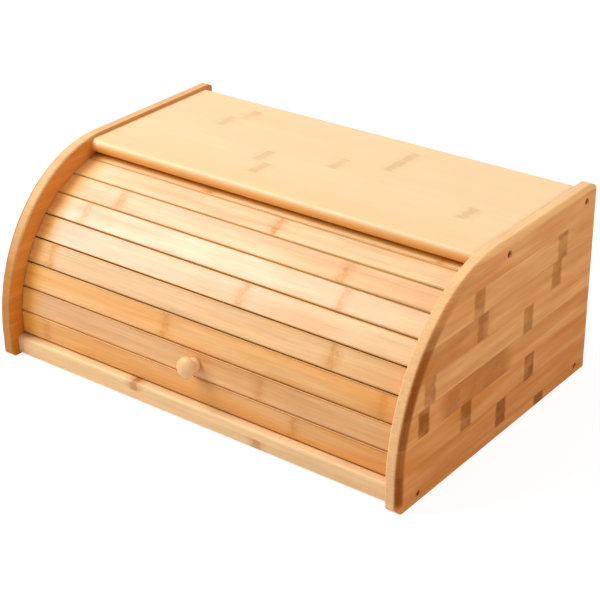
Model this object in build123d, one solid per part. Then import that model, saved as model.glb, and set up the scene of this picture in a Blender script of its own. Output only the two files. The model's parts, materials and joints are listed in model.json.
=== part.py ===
from build123d import *
import os
from math import acos, asin, atan, atan2, ceil, cos, degrees, hypot, radians, sin

# Roll-top bread box made of bamboo boards, in millimetres.
# Pieces are drawn with x across the box (0 in the middle), y from the side panels' front edge
# towards the back, and z up from the table. They are saved with the origin in the middle of
# the base, so the front looks along -Y.

# ---- driving sizes: case ----
BOX_WIDTH = 400.0             # over both side panels
BOX_DEPTH = 268.0             # side panel, front edge to rear edge
BOX_HEIGHT = 162.0            # side panel, table to top edge
SIDE_THICK = 12.0
SIDE_CURVE_START = 22.0       # straight height of the front edge, below the curve
SIDE_CURVE_DEPTH = 124.0      # front edge to the end of the curve, along y
SIDE_REAR_CORNER = 6.0        # rounded top rear corner, seen from the side
SIDE_FOOT_CORNER = 5.0        # rounded bottom front corner
SIDE_OUTER_ROUND = 5.0        # round-over of the front and top edge, outer face
SIDE_INNER_ROUND = 1.5        # the same edge on the inner face
SIDE_REAR_EASE = 2.0          # rear edge of the outer face

BASE_GAP = 1.5                # air under the bottom board and the front rail
BOTTOM_THICK = 9.0
TOP_THICK = 12.0
TOP_DROP = 2.8                # top board's face lies this far below the side panels' edge
TOP_FRONT_INSET = 109.2       # side panels' front edge to the top board's nose
TOP_NOSE_FLAT = 0.2           # left between the round front edges, so that the nose is a half round
TOP_REAR_ROUND = 4.0
BOARD_REAR_INSET = 8.0        # boards end this far in front of the side panels' rear edge
BACK_THICK = 5.0
HOUSING_DEPTH = 4.0           # stopped groove in each side panel that holds the back board
HOUSING_END_GAP = 0.3         # back board's end to the housing's bottom
HOUSING_FIT = 0.05            # per face of the back board

RAIL_FRONT_INSET = 8.0
RAIL_HEIGHT = 15.25
RAIL_DEPTH = 13.0
RAIL_LIP = 6.0                # part of the rail that stands in front of the bottom board
RAIL_NOSE_ROUND = 3.5
RAIL_FOOT_EASE = 1.0

# ---- driving sizes: roll-up lid ----
LID_RADIUS = 119.8            # lid's turning axis to the slats' outer faces
LID_FRONT_INSET = 15.5        # side panels' front edge to the foremost point of the lid
LID_TOP_CLEARANCE = 0.4       # slats to the top board's underside
LID_REST_GAP = 0.7            # lowest slat to the rail
LID_LAP = 30.0                # least length of lid hidden under the top board
SLAT_WIDTH = 19.8
SLAT_THICK = 5.0
SLAT_SPACING = 0.55           # between neighbours, at the canvas
SLAT_OUTER_ROUND = 1.3
SLAT_INNER_EASE = 0.3
SLAT_END_GAP = 0.6            # slat's end to the bottom of the track
TRACK_DEPTH = 6.0
TRACK_CLEARANCE = 0.35        # slats to the track's inner and outer walls
TRACK_END_MARGIN = 0.5        # track beyond the lid's ends, when it is closed and when it is open

CANVAS_THICK = 0.6
CANVAS_SIDE_MARGIN = 15.0     # side panel to the canvas's edge
CANVAS_END_MARGIN = 3.0       # canvas stops short of the outermost slats' edges

# ---- driving sizes: knob and screws ----
KNOB_SLAT = 2                 # counted from the bottom
KNOB_HEAD_RADIUS = 8.3
KNOB_HEAD_HEIGHT = 11.0       # slat to the widest place of the head
KNOB_DOME_HEIGHT = 5.5        # widest place to the top of the head
KNOB_HEAD_ROUND = 4.0         # rim of the head, above and below its widest place
KNOB_NECK_RADIUS = 4.8
KNOB_FOOT_RADIUS = 6.0
KNOB_FOOT_HEIGHT = 4.5
KNOB_SCREW_LENGTH = 16.0
KNOB_SCREW_HEAD_RADIUS = 3.5
KNOB_SCREW_HEAD_HEIGHT = 2.0
KNOB_SCREW_HEAD_ROUND = 0.8

SCREW_RADIUS = 1.6
SCREW_HEAD_RADIUS = 3.0
SCREW_HEAD_RIM = 0.4
SCREW_POINT = 3.0
SCREW_FIT = 0.05
SCREW_SINK = 1.2              # screw heads lie this far below the side panels' outer faces
CASE_SCREW_LENGTH = 30.0
HOLE_SPARE = 0.5              # hole beyond the screw's point
RECESS_LENGTH = 3.2
RECESS_WIDTH = 0.7
RECESS_DEPTH = 1.0

TOP_SCREW_RISE = 4.0          # screw above the top board's underside
TOP_SCREW_SETBACK = 28.6      # behind the top board's nose
BOTTOM_SCREW_SETBACK = 11.0   # behind the bottom board's front edge
REAR_SCREW_SETBACK = 7.5      # in front of the boards' rear faces

# ---- places that follow from the sizes ----
SIDE_INNER_X = BOX_WIDTH / 2 - SIDE_THICK
BOARD_REAR_Y = BOX_DEPTH - BOARD_REAR_INSET
BACK_FRONT_Y = BOARD_REAR_Y - BACK_THICK
BOTTOM_TOP_Z = BASE_GAP + BOTTOM_THICK
TOP_UNDER_Z = BOX_HEIGHT - TOP_DROP - TOP_THICK
RAIL_TOP_Z = BASE_GAP + RAIL_HEIGHT
BOTTOM_FRONT_Y = RAIL_FRONT_INSET + RAIL_LIP

LID_INNER_RADIUS = LID_RADIUS - SLAT_THICK
LID_CORNER_RADIUS = hypot(LID_RADIUS, SLAT_WIDTH / 2)
AXIS_Y = LID_FRONT_INSET + LID_RADIUS
AXIS_Z = TOP_UNDER_Z - LID_TOP_CLEARANCE - LID_CORNER_RADIUS
TRACK_OUTER_RADIUS = LID_CORNER_RADIUS + TRACK_CLEARANCE
TRACK_INNER_RADIUS = LID_INNER_RADIUS - TRACK_CLEARANCE

# Angles round the lid's axis are in degrees, 0 at the front and 90 at the top.
PITCH_ANGLE = 2 * degrees(atan((SLAT_WIDTH + SLAT_SPACING) / 2 / LID_INNER_RADIUS))
LOW_CORNER = hypot(LID_INNER_RADIUS, SLAT_WIDTH / 2)
FIRST_SLAT_ANGLE = degrees(
    atan2(SLAT_WIDTH / 2, LID_INNER_RADIUS) + asin((RAIL_TOP_Z + LID_REST_GAP - AXIS_Z) / LOW_CORNER)
)
LID_LOW_ANGLE = FIRST_SLAT_ANGLE - PITCH_ANGLE / 2
TOP_NOSE_ANGLE = degrees(acos((AXIS_Y - TOP_FRONT_INSET) / LID_RADIUS))
LAP_ANGLE = degrees(LID_LAP / LID_RADIUS)
SLAT_COUNT = ceil((TOP_NOSE_ANGLE + LAP_ANGLE - LID_LOW_ANGLE) / PITCH_ANGLE)
LID_HIGH_ANGLE = LID_LOW_ANGLE + SLAT_COUNT * PITCH_ANGLE

BOTTOM_SCREW_Z = BASE_GAP + BOTTOM_THICK / 2
TOP_SCREW_Z = TOP_UNDER_Z + TOP_SCREW_RISE
REAR_SCREW_Y = BOARD_REAR_Y - REAR_SCREW_SETBACK
SCREW_PLACES = [
    (BOTTOM_FRONT_Y + BOTTOM_SCREW_SETBACK, BOTTOM_SCREW_Z),
    (REAR_SCREW_Y, BOTTOM_SCREW_Z),
    (TOP_FRONT_INSET + TOP_SCREW_SETBACK, TOP_SCREW_Z),
    (REAR_SCREW_Y, TOP_SCREW_Z),
]


def block(x_size, y_low, y_high, z_low, z_high):
    """A plain board, centred across the box."""
    middle = Pos(0, (y_low + y_high) / 2, (z_low + z_high) / 2)
    return middle * Box(x_size, y_high - y_low, z_high - z_low)


def extrude_across(outline, x_low, x_high):
    """A prism from an outline in y and z, between two planes across the box."""
    face = Plane.YZ.offset(x_low) * make_face(outline)
    return extrude(face, amount=x_high - x_low)


def lid_point(radius, angle, along=0.0):
    """y and z of a point of the lid: out from the axis, then along the slat towards the back."""
    turn = radians(angle)
    return (
        AXIS_Y - radius * cos(turn) + along * sin(turn),
        AXIS_Z + radius * sin(turn) + along * cos(turn),
    )


def slat_angle(number):
    return FIRST_SLAT_ANGLE + (number - 1) * PITCH_ANGLE


def lid_travel():
    """Degrees that the lid turns until its knob meets the tip of the top board's nose."""
    knob_half = degrees(asin(KNOB_HEAD_RADIUS / (LID_RADIUS + KNOB_HEAD_HEIGHT)))
    nose_tip = degrees(atan2(TOP_UNDER_Z + TOP_THICK / 2 - AXIS_Z, AXIS_Y - TOP_FRONT_INSET))
    return nose_tip - knob_half - slat_angle(KNOB_SLAT)


def slat_plane(number):
    """Plane on a slat's outer face: x across the box, y along the lid, z outwards."""
    turn = radians(slat_angle(number))
    y, z = lid_point(LID_RADIUS, slat_angle(number))
    return Plane(origin=(0, y, z), x_dir=(1, 0, 0), z_dir=(0, -cos(turn), sin(turn)))


# ---- screws ----
def screw_shape(length, point, fit=0.0, above=0.0):
    """A countersunk screw or the hole for one: its flat at 0, its point downwards."""
    head = SCREW_HEAD_RADIUS + fit
    shank = SCREW_RADIUS + fit
    cone_end = SCREW_HEAD_RIM + SCREW_HEAD_RADIUS - SCREW_RADIUS
    head_points = [(0, above), (head, above), (head, -SCREW_HEAD_RIM), (shank, -cone_end)]
    outline = Polyline([*head_points, (shank, point - length), (0, -length)], close=True)
    return revolve(Plane.XZ * make_face(outline), axis=Axis.Z)


def cross_recess(top):
    """Two crossed slots cut down from the top of a screw's head."""
    slot = Pos(0, 0, top - RECESS_DEPTH / 2) * Box(RECESS_LENGTH, RECESS_WIDTH, RECESS_DEPTH)
    return slot + Rot(0, 0, 90) * slot


def case_screw():
    return screw_shape(CASE_SCREW_LENGTH, SCREW_POINT) - cross_recess(0)


def case_screw_hole():
    """Flat-ended hole for a case screw, open as far as the side panel's face."""
    return screw_shape(CASE_SCREW_LENGTH + HOLE_SPARE, 0, SCREW_FIT, SCREW_SINK)


def case_screw_planes(side):
    """One plane for each screw of a side panel (side is -1 left, 1 right), z outwards."""
    x = side * (BOX_WIDTH / 2 - SCREW_SINK)
    return [Plane(origin=(x, y, z), x_dir=(0, 1, 0), z_dir=(side, 0, 0)) for y, z in SCREW_PLACES]


def case_screws(side):
    return Compound([plane * case_screw() for plane in case_screw_planes(side)])


def drill_case(piece):
    """Cut every case screw's hole that reaches the piece."""
    for side in (-1, 1):
        for plane in case_screw_planes(side):
            piece -= plane * case_screw_hole()
    return piece


# ---- case ----
def side_outline(rear_corner=0.0, foot_corner=0.0):
    """Side panel seen from the side; the top rear and the bottom front corner have a radius each."""
    rise = BOX_HEIGHT - SIDE_CURVE_START
    pieces = [
        Line((0, foot_corner), (0, SIDE_CURVE_START)),
        EllipticalCenterArc((SIDE_CURVE_DEPTH, SIDE_CURVE_START), SIDE_CURVE_DEPTH, rise, 90, arc_size=90),
        Line((SIDE_CURVE_DEPTH, BOX_HEIGHT), (BOX_DEPTH - rear_corner, BOX_HEIGHT)),
        Line((BOX_DEPTH, BOX_HEIGHT - rear_corner), (BOX_DEPTH, 0)),
        Line((BOX_DEPTH, 0), (foot_corner, 0)),
    ]
    if rear_corner:
        pieces.append(CenterArc((BOX_DEPTH - rear_corner, BOX_HEIGHT - rear_corner), rear_corner, 0, 90))
    if foot_corner:
        pieces.append(CenterArc((foot_corner, foot_corner), foot_corner, 180, 90))
    return Wire([edge for piece in pieces for edge in piece.edges()])


def track_cutter():
    """Part of a flat ring that the slats' ends run in, as far as they go when the lid is open."""
    margin = degrees(TRACK_END_MARGIN / LID_INNER_RADIUS)
    start = 180 - LID_LOW_ANGLE + margin
    sweep = LID_LOW_ANGLE - LID_HIGH_ANGLE - lid_travel() - 2 * margin
    centre = (AXIS_Y, AXIS_Z)
    outer = CenterArc(centre, TRACK_OUTER_RADIUS, start, sweep)
    inner = CenterArc(centre, TRACK_INNER_RADIUS, start, sweep)
    ends = [Line(outer @ 0, inner @ 0), Line(outer @ 1, inner @ 1)]
    ring = Wire([edge for piece in [outer, inner, *ends] for edge in piece.edges()])
    return extrude_across(ring, SIDE_INNER_X, SIDE_INNER_X + TRACK_DEPTH)


def front_and_top_edges(face):
    """A side face's edges without the bottom one and the rear one."""
    return face.edges().sort_by(Axis.Z)[1:].sort_by(Axis.Y)[:-1]


def side_panel_right():
    outer_x = SIDE_INNER_X + SIDE_THICK
    panel = extrude_across(side_outline(), SIDE_INNER_X, outer_x)
    panel = fillet(front_and_top_edges(panel.faces().sort_by(Axis.X)[-1]), SIDE_OUTER_ROUND)
    panel = fillet(front_and_top_edges(panel.faces().sort_by(Axis.X)[0]), SIDE_INNER_ROUND)
    rear = max(panel.edges().filter_by(Axis.Z), key=lambda e: e.center().X + e.center().Y)
    panel = fillet([rear], SIDE_REAR_EASE)
    corners = side_outline(SIDE_REAR_CORNER, SIDE_FOOT_CORNER)
    panel = panel & extrude_across(corners, SIDE_INNER_X, outer_x)
    housing = block(
        2 * (SIDE_INNER_X + HOUSING_DEPTH),
        BACK_FRONT_Y - HOUSING_FIT, BOARD_REAR_Y + HOUSING_FIT, BOTTOM_TOP_Z, TOP_UNDER_Z,
    )
    return drill_case(panel - housing - track_cutter())


def top_board():
    board = block(2 * SIDE_INNER_X, TOP_FRONT_INSET, BOARD_REAR_Y, TOP_UNDER_Z, TOP_UNDER_Z + TOP_THICK)
    nose = board.edges().filter_by(Axis.X).sort_by(Axis.Y)[:2]
    board = fillet(nose, (TOP_THICK - TOP_NOSE_FLAT) / 2)
    rear_top = max(board.edges().filter_by(Axis.X), key=lambda e: e.center().Y + e.center().Z)
    return drill_case(fillet([rear_top], TOP_REAR_ROUND))


def bottom_board():
    return drill_case(block(2 * SIDE_INNER_X, BOTTOM_FRONT_Y, BOARD_REAR_Y, BASE_GAP, BOTTOM_TOP_Z))


def back_board():
    length = 2 * (SIDE_INNER_X + HOUSING_DEPTH - HOUSING_END_GAP)
    return block(length, BACK_FRONT_Y, BOARD_REAR_Y, BOTTOM_TOP_Z, TOP_UNDER_Z)


def front_rail():
    """Rail under the lid, rebated over the bottom board's front edge."""
    rail = block(2 * SIDE_INNER_X, RAIL_FRONT_INSET, RAIL_FRONT_INSET + RAIL_DEPTH, BASE_GAP, RAIL_TOP_Z)
    high = max(rail.edges().filter_by(Axis.X), key=lambda e: e.center().Z - e.center().Y)
    rail = fillet([high], RAIL_NOSE_ROUND)
    low = min(rail.edges().filter_by(Axis.X), key=lambda e: e.center().Y + e.center().Z)
    rail = fillet([low], RAIL_FOOT_EASE)
    rebate = block(
        2 * SIDE_INNER_X, BOTTOM_FRONT_Y, RAIL_FRONT_INSET + RAIL_DEPTH, BASE_GAP, BOTTOM_TOP_Z
    )
    return rail - rebate


# ---- lid ----
def knob_screw_plane():
    """Plane on the canvas behind the knob, z towards the inside of the box."""
    outer = slat_plane(KNOB_SLAT)
    depth = SLAT_THICK + CANVAS_THICK
    return Plane(origin=outer.origin - outer.z_dir * depth, x_dir=outer.x_dir, z_dir=-outer.z_dir)


def drill_for_knob(piece):
    """Straight hole for the knob's screw."""
    reach = KNOB_SCREW_LENGTH + HOLE_SPARE
    hole = Pos(0, 0, -reach / 2) * Cylinder(SCREW_RADIUS + SCREW_FIT, reach)
    return piece - knob_screw_plane() * hole


def slat(number):
    length = 2 * (SIDE_INNER_X + TRACK_DEPTH - SLAT_END_GAP)
    bar = Pos(0, 0, -SLAT_THICK / 2) * Box(length, SLAT_WIDTH, SLAT_THICK)
    bar = fillet(bar.edges().filter_by(Axis.X).group_by(Axis.Z)[-1], SLAT_OUTER_ROUND)
    bar = chamfer(bar.edges().filter_by(Axis.X).group_by(Axis.Z)[0], SLAT_INNER_EASE)
    bar = slat_plane(number) * bar
    return drill_for_knob(bar) if number == KNOB_SLAT else bar


def canvas_backing():
    """Cloth glued to the slats' inner faces, with one bend at each seam."""
    reach = SLAT_WIDTH / 2 - CANVAS_END_MARGIN
    last = slat_angle(SLAT_COUNT)
    bend = cos(radians(PITCH_ANGLE / 2))

    def layer(radius):
        seams = [
            lid_point(radius / bend, slat_angle(k) + PITCH_ANGLE / 2) for k in range(1, SLAT_COUNT)
        ]
        return [lid_point(radius, FIRST_SLAT_ANGLE, -reach), *seams, lid_point(radius, last, reach)]

    outline = layer(LID_INNER_RADIUS) + layer(LID_INNER_RADIUS - CANVAS_THICK)[::-1]
    half = SIDE_INNER_X - CANVAS_SIDE_MARGIN
    return drill_for_knob(extrude_across(Polyline(outline, close=True), -half, half))


def knob():
    """Turned knob: a bead for a foot, a short neck and a domed head."""
    bore = SCREW_RADIUS + SCREW_FIT
    bore_end = KNOB_SCREW_LENGTH + HOLE_SPARE - SLAT_THICK - CANVAS_THICK
    top = KNOB_HEAD_HEIGHT + KNOB_DOME_HEIGHT
    rim_x = KNOB_HEAD_RADIUS - KNOB_HEAD_ROUND
    cap_chord = rim_x**2 + KNOB_DOME_HEIGHT**2 - KNOB_HEAD_ROUND**2
    cap_radius = cap_chord / (2 * (KNOB_DOME_HEIGHT - KNOB_HEAD_ROUND))
    cap_centre = top - cap_radius
    upper = degrees(atan2(KNOB_HEAD_HEIGHT - cap_centre, rim_x))
    lower = degrees(acos((KNOB_NECK_RADIUS - rim_x) / KNOB_HEAD_ROUND))
    underside = CenterArc((rim_x, KNOB_HEAD_HEIGHT), KNOB_HEAD_ROUND, -lower, lower)
    foot_top = (KNOB_NECK_RADIUS, KNOB_FOOT_HEIGHT)
    pieces = [
        Polyline((0, top), (0, bore_end), (bore, bore_end), (bore, 0), (KNOB_NECK_RADIUS, 0)),
        ThreePointArc((KNOB_NECK_RADIUS, 0), (KNOB_FOOT_RADIUS, KNOB_FOOT_HEIGHT / 2), foot_top),
        Line(foot_top, underside @ 0),
        underside,
        CenterArc((rim_x, KNOB_HEAD_HEIGHT), KNOB_HEAD_ROUND, 0, upper),
        CenterArc((0, cap_centre), cap_radius, upper, 90 - upper),
    ]
    outline = Wire([edge for piece in pieces for edge in piece.edges()])
    return slat_plane(KNOB_SLAT) * revolve(Plane.XZ * make_face(outline), axis=Axis.Z)


def knob_screw():
    """Pan head screw through the canvas and the slat into the knob."""
    head = Pos(0, 0, KNOB_SCREW_HEAD_HEIGHT / 2) * Cylinder(KNOB_SCREW_HEAD_RADIUS, KNOB_SCREW_HEAD_HEIGHT)
    head = fillet(head.edges().sort_by(Axis.Z)[-1], KNOB_SCREW_HEAD_ROUND)
    thread = KNOB_SCREW_LENGTH - SCREW_POINT
    outline = [(0, 0), (SCREW_RADIUS, 0), (SCREW_RADIUS, -thread), (0, -KNOB_SCREW_LENGTH)]
    shank = revolve(Plane.XZ * make_face(Polyline(outline, close=True)), axis=Axis.Z)
    return knob_screw_plane() * (head + shank - cross_recess(KNOB_SCREW_HEAD_HEIGHT))


def save(name, shape):
    export_step(Pos(0, -BOX_DEPTH / 2, 0) * shape, f"parts/{name}.step")


os.makedirs("parts", exist_ok=True)

right = side_panel_right()
save("side_panel_right", right)
save("side_panel_left", mirror(right, about=Plane.YZ))
save("top_board", top_board())
save("bottom_board", bottom_board())
save("back_board", back_board())
save("front_rail", front_rail())
save("case_screws_left", case_screws(-1))
save("case_screws_right", case_screws(1))
for count in range(1, SLAT_COUNT + 1):
    save(f"slat_{count:02d}", slat(count))
save("canvas_backing", canvas_backing())
save("knob", knob())
save("knob_screw", knob_screw())
print("lid:", SLAT_COUNT, "slats, axis at y", AXIS_Y - BOX_DEPTH / 2, "z", AXIS_Z, "turns", lid_travel())
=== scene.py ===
# %% [markdown]
# # A bamboo bread box with a roll-up lid
# The box is a plain case of bamboo boards: two side panels with a curved front, a top board, a
# bottom, a back and a low front rail. Its lid is a row of slats glued to canvas. The slats' ends
# run in a groove in each side panel, so the lid slides up and under the top board.
# The construction is already drawn and packed, in metres, with Z up and the front towards -Y.
# This lesson only dresses it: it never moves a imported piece, and it adds the finish, the light
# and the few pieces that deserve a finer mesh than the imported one.

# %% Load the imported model
import json
import math
import bmesh
import bpy
import numpy as np
from mathutils import Euler, Matrix, Vector


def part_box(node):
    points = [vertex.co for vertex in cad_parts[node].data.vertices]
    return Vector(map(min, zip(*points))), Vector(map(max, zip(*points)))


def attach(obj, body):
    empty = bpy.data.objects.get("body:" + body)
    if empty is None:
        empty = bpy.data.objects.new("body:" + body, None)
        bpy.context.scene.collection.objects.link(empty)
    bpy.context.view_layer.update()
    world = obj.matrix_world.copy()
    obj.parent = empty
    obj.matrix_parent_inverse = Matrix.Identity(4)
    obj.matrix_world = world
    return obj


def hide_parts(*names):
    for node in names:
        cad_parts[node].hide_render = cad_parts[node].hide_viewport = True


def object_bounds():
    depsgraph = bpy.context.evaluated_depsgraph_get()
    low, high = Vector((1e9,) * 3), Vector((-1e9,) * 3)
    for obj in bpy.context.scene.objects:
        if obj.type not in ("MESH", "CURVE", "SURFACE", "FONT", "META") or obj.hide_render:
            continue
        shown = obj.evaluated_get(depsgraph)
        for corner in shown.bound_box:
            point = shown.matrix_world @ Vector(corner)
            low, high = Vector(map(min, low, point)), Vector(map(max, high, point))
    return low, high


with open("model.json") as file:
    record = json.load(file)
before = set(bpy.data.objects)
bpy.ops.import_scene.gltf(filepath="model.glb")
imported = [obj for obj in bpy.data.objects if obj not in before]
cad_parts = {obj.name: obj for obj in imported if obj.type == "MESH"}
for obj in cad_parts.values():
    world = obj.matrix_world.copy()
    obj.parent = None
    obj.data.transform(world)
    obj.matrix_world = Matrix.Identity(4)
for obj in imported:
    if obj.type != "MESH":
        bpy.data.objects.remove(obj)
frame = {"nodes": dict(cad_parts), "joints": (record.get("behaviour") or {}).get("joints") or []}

bpy.context.view_layer.update()
packed_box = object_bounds()
BOX_LOW, BOX_HIGH = packed_box
print("packed box", [round(v, 4) for v in (*BOX_LOW, *BOX_HIGH)])

# %% [markdown]
# ## The camera
# The photograph was taken from the right of the front, a little above the box, with a long lens.
# Its straight edges fix the camera: yaw turns it to the left, pitch tips it down, and a small roll
# keeps the box's uprights leaning as they do in the picture. The shift only moves the frame, which
# stands in for the way that the picture was cropped.

# %% Set up the camera
CAMERA_PLACE = (0.7275, -0.9266, 0.6645)
CAMERA_YAW, CAMERA_PITCH, CAMERA_ROLL = 38.65, 27.58, -1.2
CAMERA_LENS = 97.98
CAMERA_SHIFT = (0.0407, 0.0109)
NEAREST, FARTHEST = 0.05, 50

camera = bpy.data.objects.new("camera", bpy.data.cameras.new("camera"))
aim = Euler((math.radians(90 - CAMERA_PITCH), 0, math.radians(CAMERA_YAW))).to_matrix()
turned = aim @ Matrix.Rotation(math.radians(CAMERA_ROLL), 3, "Z")
camera.matrix_world = Matrix.Translation(CAMERA_PLACE) @ turned.to_4x4()
camera.data.lens = CAMERA_LENS
camera.data.shift_x, camera.data.shift_y = CAMERA_SHIFT
camera.data.clip_start, camera.data.clip_end = NEAREST, FARTHEST
bpy.context.scene.collection.objects.link(camera)
bpy.context.scene.camera = camera
bpy.context.scene.view_settings.view_transform = "Standard"
print("camera at", CAMERA_PLACE, "lens", CAMERA_LENS, "mm")

# %% [markdown]
# ## Nodes without the clutter
# Every material and every Geometry Nodes tree below is built with a few small helpers. `add` places
# one node and fills its inputs: a plain value is typed into the socket, and another node's output
# is linked to it. `new_group` starts a reusable group with named inputs and outputs. Each of the
# others is one node under a shorter name, for arithmetic, vectors, ramps and mixed colours.

# %% Helpers for node trees
NUMBER, DIRECTION, GEOMETRY = "NodeSocketFloat", "NodeSocketVector", "NodeSocketGeometry"
WHOLE_NUMBER, MATERIAL, OBJECT = "NodeSocketInt", "NodeSocketMaterial", "NodeSocketObject"
SHADER_TREE, GEOMETRY_TREE = "ShaderNodeTree", "GeometryNodeTree"


def add(tree, kind, inputs=None, **settings):
    """Add a node to a tree; an input's value may be another node's output."""
    node = tree.nodes.new(kind)
    for name, value in settings.items():
        setattr(node, name, value)
    for name, value in (inputs or {}).items():
        if isinstance(value, bpy.types.NodeSocket):
            tree.links.new(value, node.inputs[name])
        else:
            node.inputs[name].default_value = value
    return node


def new_group(title, kind, inputs, outputs):
    """Start a node group; inputs map a name to (socket type, default), outputs to a socket type."""
    tree = bpy.data.node_groups.new(title, kind)
    for name, (socket_type, default) in inputs.items():
        socket = tree.interface.new_socket(name, in_out="INPUT", socket_type=socket_type)
        if default is not None:
            socket.default_value = default
    for name, socket_type in outputs.items():
        tree.interface.new_socket(name, in_out="OUTPUT", socket_type=socket_type)
    given = tree.nodes.new("NodeGroupInput").outputs
    result = tree.nodes.new("NodeGroupOutput").inputs
    return tree, given, result


# %% Helpers for numbers and vectors
def calc(tree, operation, first, second=0.0, third=0.0):
    """One step of arithmetic; returns the result's socket."""
    node = add(tree, "ShaderNodeMath", {0: first, 1: second, 2: third}, operation=operation)
    return node.outputs[0]


def times(tree, first, *others):
    """The product of some values, such as masks that all have to hold at a point."""
    for other in others:
        first = calc(tree, "MULTIPLY", first, other)
    return first


def ramp(tree, value, low, high, start=0.0, end=1.0, kind="SMOOTHSTEP"):
    """Map a value from low..high to start..end, held at both ends."""
    node = add(tree, "ShaderNodeMapRange", {
        "Value": value, "From Min": low, "From Max": high, "To Min": start, "To Max": end,
    }, interpolation_type=kind)
    return node.outputs[0]


def joined(tree, x=0.0, y=0.0, z=0.0):
    """Three numbers as one vector."""
    return add(tree, "ShaderNodeCombineXYZ", {0: x, 1: y, 2: z}).outputs[0]


def split(tree, vector):
    """The parts of a vector, by the names X, Y and Z."""
    return add(tree, "ShaderNodeSeparateXYZ", {0: vector}).outputs


def scaled(tree, vector, factors):
    """A vector whose parts are each multiplied by their own factor."""
    return add(tree, "ShaderNodeVectorMath", {0: vector, 1: factors}, operation="MULTIPLY").outputs[0]


def speckle(tree, vector, scale, detail=3.0):
    """Noise from 0 to 1 that is as fine along every axis."""
    noise = add(tree, "ShaderNodeTexNoise", {"Vector": vector, "Scale": scale, "Detail": detail})
    return noise.outputs["Fac"]


def clouds(tree, vector, stretch):
    """Soft noise from 0 to 1; stretch says how often it changes in a metre along each axis."""
    return speckle(tree, scaled(tree, vector, stretch), 1.0, 2.0)


# %% Helpers for colours
# A Mix node keeps sockets for every kind of value; these are the ones that mix colours.
MIX_FACTOR, MIX_FIRST, MIX_SECOND, MIX_RESULT = 0, 6, 7, 2


def colour(red, green, blue):
    """A colour as it is read off a screen, 0 to 255, turned into the linear light that nodes use."""
    linear = [v / 255 / 12.92 if v <= 10 else ((v / 255 + 0.055) / 1.055) ** 2.4 for v in (red, green, blue)]
    return (*linear, 1.0)


def blend_colours(tree, factor, first, second, mode="MIX"):
    """Mix two colours by a factor; returns the colour's socket."""
    mix = add(tree, "ShaderNodeMix", {MIX_FACTOR: factor, MIX_FIRST: first, MIX_SECOND: second},
              data_type="RGBA", blend_type=mode)
    return mix.outputs[MIX_RESULT]


# %% [markdown]
# ## Light, floor and backdrop
# The picture is a studio shot on white. The slats' left ends lie in the left panel's shadow, and the
# upright lower slats are darker than the ones that look up, so the main light is a large soft box
# high on the left, a little in front. The right side still shows its grain, so a weaker soft box
# stands to the right. The world fills the rest.
# White comes from what the camera sees, not from more light: rays that come straight from the
# camera, or by way of a reflection, meet a white world, and the floor adds a little glow of its
# own for the camera while it still takes the box's shadow.

# %% Hang the lamps
TARGET = Vector((0.0, 0.0, 0.08))


def soft_box(name, direction, distance, size, power):
    """A square lamp that looks at the box from a direction."""
    lamp = bpy.data.lights.new(name, "AREA")
    lamp.size, lamp.energy = size, power
    stand = bpy.data.objects.new(name, lamp)
    towards = Vector(direction).normalized()
    stand.location = TARGET + towards * distance
    stand.rotation_euler = towards.to_track_quat("Z", "Y").to_euler()
    bpy.context.scene.collection.objects.link(stand)
    print(name, power, "W,", distance, "m away")


soft_box("key light", direction=(-0.60, -0.36, 0.71), distance=1.9, size=1.1, power=32)
soft_box("side fill", direction=(0.85, 0.20, 0.50), distance=1.8, size=0.8, power=10)

# %% Paint the world and the floor
WHITE = (1, 1, 1, 1)
WORLD_LIGHT = 0.35
PAPER, SHADED_PAPER = (0.8, 0.8, 0.8, 1), (0.32, 0.32, 0.32, 1)
FLOOR_GLOW, FLOOR_SIZE, FLOOR_GAP = 0.82, 30, 0.0002


def seen_directly(tree):
    """1 for rays from the camera and for those that mirror or pass through something."""
    path = tree.nodes.new("ShaderNodeLightPath").outputs
    either = calc(tree, "MAXIMUM", path["Is Camera Ray"], path["Is Glossy Ray"])
    return calc(tree, "MAXIMUM", either, path["Is Transmission Ray"])


def emptied_tree(holder):
    """The node tree of a world or a material, with nothing in it."""
    holder.use_nodes = True
    holder.node_tree.nodes.clear()
    return holder.node_tree


world = bpy.data.worlds.new("white studio")
bpy.context.scene.world = world
tree = emptied_tree(world)
strength = calc(tree, "MULTIPLY_ADD", seen_directly(tree), 1 - WORLD_LIGHT, WORLD_LIGHT)
sky = add(tree, "ShaderNodeBackground", {"Color": WHITE, "Strength": strength})
add(tree, "ShaderNodeOutputWorld", {"Surface": sky.outputs[0]})

paper = bpy.data.materials.new("white paper floor")
tree = emptied_tree(paper)
plain = add(tree, "ShaderNodeBsdfDiffuse", {"Color": PAPER})
dim = add(tree, "ShaderNodeBsdfDiffuse", {"Color": SHADED_PAPER})
glow = add(tree, "ShaderNodeEmission", {"Color": WHITE, "Strength": FLOOR_GLOW})
shown = add(tree, "ShaderNodeAddShader", {0: dim.outputs[0], 1: glow.outputs[0]})
mixed = add(tree, "ShaderNodeMixShader", {0: seen_directly(tree), 1: plain.outputs[0], 2: shown.outputs[0]})
add(tree, "ShaderNodeOutputMaterial", {"Surface": mixed.outputs[0]})

bpy.ops.mesh.primitive_plane_add(size=FLOOR_SIZE, location=(0, 0, BOX_LOW.z - FLOOR_GAP))
floor = bpy.context.object
floor.name = "floor"
floor.data.materials.append(paper)
print("floor and world are white for the camera; the world lights at", WORLD_LIGHT)

# %% [markdown]
# ## What bamboo looks like
# A bamboo board is made of strips split from the cane's wall, planed and glued edge to edge. Three
# things make it recognisable. Fibres run dead straight along each strip, as fine streaks and short
# dark dashes. Each strip has its own tone, with a hairline of glue beside it. And every strip
# carries marks where the cane had its rings, short brown bars across the strip.
# Each of these is a shader group, because several boards use all three with their own values.

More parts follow.
